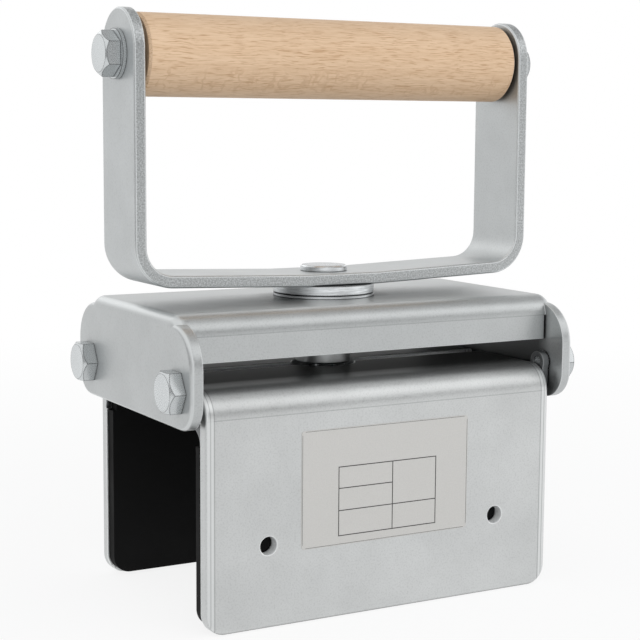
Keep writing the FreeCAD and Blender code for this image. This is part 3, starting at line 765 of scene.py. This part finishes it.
class TONGS_OT_stage(bpy.types.Operator):
    """Set the floor, the lamps, the sky and the camera"""

    bl_idname = "tongs.stage"
    bl_label = "Studio"

    def execute(self, context):
        scene, setting = context.scene, context.scene.tongs_stage
        scene.view_settings.view_transform = "Standard"
        self.lay_floor(setting)
        self.stand_cards(setting)
        self.light_sky(scene, setting)
        # Name, spot, width and power of each lamp, and whether metal mirrors it.
        lamps = (
            ("key_lamp", (-0.15, -1.80, 1.25), 2.4, setting.key, False),
            ("top_lamp", (0.92, -0.92, 1.53), 0.8, setting.top, True),
            ("side_lamp", (1.50, -0.90, 0.70), 2.0, setting.side, True),
            ("back_lamp", (-0.35, 1.65, 1.10), 0.8, setting.back, True),
        )
        for name, spot, width, watts, mirrored in lamps:
            self.hang_lamp(scene, name, Vector(spot), width, watts, mirrored)
        self.set_camera(scene, setting)
        return {"FINISHED"}

    def lay_floor(self, setting):
        """A wide pale floor, white to the lens and in reflections, that keeps some shadow near the tongs."""
        reach, drop = 6.0, 0.0003
        near, far, near_white = 0.30, 0.95, 0.86
        material, tree = bare_material("floor_paint")
        matt = wire(tree, "ShaderNodeBsdfDiffuse", {"Color": rgba(WHITE, setting.floor)})
        white = wire(tree, "ShaderNodeEmission", {"Color": rgba(WHITE), "Strength": 1.0})
        place = wire(tree, "ShaderNodeTexCoord").outputs["Object"]
        away = reckon_vector(tree, "LENGTH", place)["Value"]
        cover = product(tree, seen_by(tree, "Is Camera Ray", "Is Glossy Ray"),
                        spread(tree, away, near_white, 1.0, near, far))
        blend = wire(tree, "ShaderNodeMixShader", {0: cover, 1: matt.outputs[0], 2: white.outputs[0]})
        wire(tree, "ShaderNodeOutputMaterial", {"Surface": blend.outputs[0]})
        corners = np.array([[-reach, -reach], [reach, -reach], [reach, reach], [-reach, reach]])
        floor = add_mesh("floor", np.c_[corners, np.full(4, -drop)], [range(4)], material)

    def stand_cards(self, setting):
        """Grey cards that give the metal something dark to mirror: overhead, low in front and at the left."""
        # Low corner, high corner and share of the tone. A card is flat along the axis on which they agree.
        cards = {
            "top_card": ((0.30, -0.50, 1.60), (1.60, 1.30, 1.60), 1.0),
            "front_card": ((0.20, -1.90, 0.28), (2.00, -1.90, 1.05), 0.45),
            "left_card": ((-1.00, -0.90, 0.00), (-1.00, 0.90, 0.50), 1.0),
        }
        for name, (low, high, part) in cards.items():
            first, last = (axis for axis in range(3) if low[axis] != high[axis])
            corners = np.tile(np.array(low), (4, 1))
            corners[[1, 2], first] = high[first]
            corners[[2, 3], last] = high[last]
            card = add_mesh(name, corners, [range(4)], self.card_paint(name, setting.card * part))
            card.visible_camera = False
            card.visible_diffuse = False
            card.visible_shadow = False

    def card_paint(self, name, tone):
        """An even grey that needs no lamp."""
        material, tree = bare_material(name + "_paint")
        grey = wire(tree, "ShaderNodeEmission", {"Color": rgba(WHITE, tone), "Strength": 1.0})
        wire(tree, "ShaderNodeOutputMaterial", {"Surface": grey.outputs[0]})
        return material

    def light_sky(self, scene, setting):
        """White to the lens and in reflections, and a softer grey for the light it gives."""
        world = bpy.data.worlds.new("sky")
        world.use_nodes = True
        tree = world.node_tree
        tree.nodes.clear()
        soft = wire(tree, "ShaderNodeBackground", {"Color": rgba(SKY_TONE), "Strength": setting.fill})
        white = wire(tree, "ShaderNodeBackground", {"Color": rgba(WHITE), "Strength": 1.0})
        seen = seen_by(tree, "Is Camera Ray", "Is Glossy Ray", "Is Transmission Ray")
        blend = wire(tree, "ShaderNodeMixShader", {0: seen, 1: soft.outputs[0], 2: white.outputs[0]})
        wire(tree, "ShaderNodeOutputWorld", {"Surface": blend.outputs[0]})
        scene.world = world

    def hang_lamp(self, scene, name, spot, width, watts, mirrored):
        """A square lamp at a spot, turned to the middle of the tongs, that metal mirrors or not."""
        data = bpy.data.lights.new(name, "AREA")
        data.shape = "SQUARE"
        data.size = width
        data.energy = watts
        lamp = bpy.data.objects.new(name, data)
        lamp.rotation_euler = (LAMP_AIM - spot).to_track_quat("-Z", "Y").to_euler()
        lamp.location = spot
        lamp.visible_glossy = mirrored
        scene.collection.objects.link(lamp)

    def set_camera(self, scene, setting):
        """A camera at the picture's place that looks right of Y, down, and a little on its side."""
        yaw, pitch, roll = CAMERA_YAW, CAMERA_PITCH, CAMERA_ROLL
        ahead = Vector((sin(yaw) * cos(pitch), cos(yaw) * cos(pitch), -sin(pitch)))
        right = Vector((cos(yaw), -sin(yaw), 0.0))
        up = right.cross(ahead)
        across = right * cos(roll) + up * sin(roll)
        upward = up * cos(roll) - right * sin(roll)
        data = bpy.data.cameras.new("lens")
        data.lens = setting.focal
        data.sensor_width = SENSOR_WIDTH
        data.dof.use_dof = False
        camera = bpy.data.objects.new("camera", data)
        turn = Matrix((across, upward, -ahead)).transposed()
        camera.matrix_world = Matrix.Translation(CAMERA_SPOT) @ turn.to_4x4()
        scene.collection.objects.link(camera)
        scene.camera = camera


OPERATORS = (
    TONGS_OT_sheet, TONGS_OT_fasteners, TONGS_OT_swivel, TONGS_OT_grip, TONGS_OT_pads, TONGS_OT_plate,
    TONGS_OT_stage,
)


class TONGS_PT_sidebar(bpy.types.Panel):
    """Lists the finishes, the plate and the studio"""

    bl_idname = "TONGS_PT_sidebar"
    bl_label = "Kerb tongs"
    bl_space_type = "VIEW_3D"
    bl_region_type = "UI"
    bl_category = "Tongs"

    def draw(self, context):
        for operator in OPERATORS:
            self.layout.operator(operator.bl_idname)
        for group in (context.scene.tongs_finish, context.scene.tongs_plate, context.scene.tongs_stage):
            box = self.layout.box()
            for name in group.__annotations__:
                box.prop(group, name)


GROUPS = {"tongs_finish": TongsFinish, "tongs_plate": TongsPlate, "tongs_stage": TongsStage}
CLASSES = (*GROUPS.values(), *OPERATORS, TONGS_PT_sidebar)


def register():
    """Makes the settings, the operators and the panel known to Blender."""
    for known in CLASSES:
        bpy.utils.register_class(known)
    for name, group in GROUPS.items():
        setattr(bpy.types.Scene, name, PointerProperty(type=group))


def unregister():
    """Takes them back in the reverse order."""
    for name in GROUPS:
        delattr(bpy.types.Scene, name)
    for known in reversed(CLASSES):
        bpy.utils.unregister_class(known)


def main():
    """Dresses the solids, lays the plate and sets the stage."""
    register()
    bpy.ops.tongs.sheet()
    bpy.ops.tongs.fasteners()
    bpy.ops.tongs.swivel()
    bpy.ops.tongs.grip()
    bpy.ops.tongs.pads()
    bpy.ops.tongs.plate()
    bpy.ops.tongs.stage()


if __name__ == "__main__":
    main()
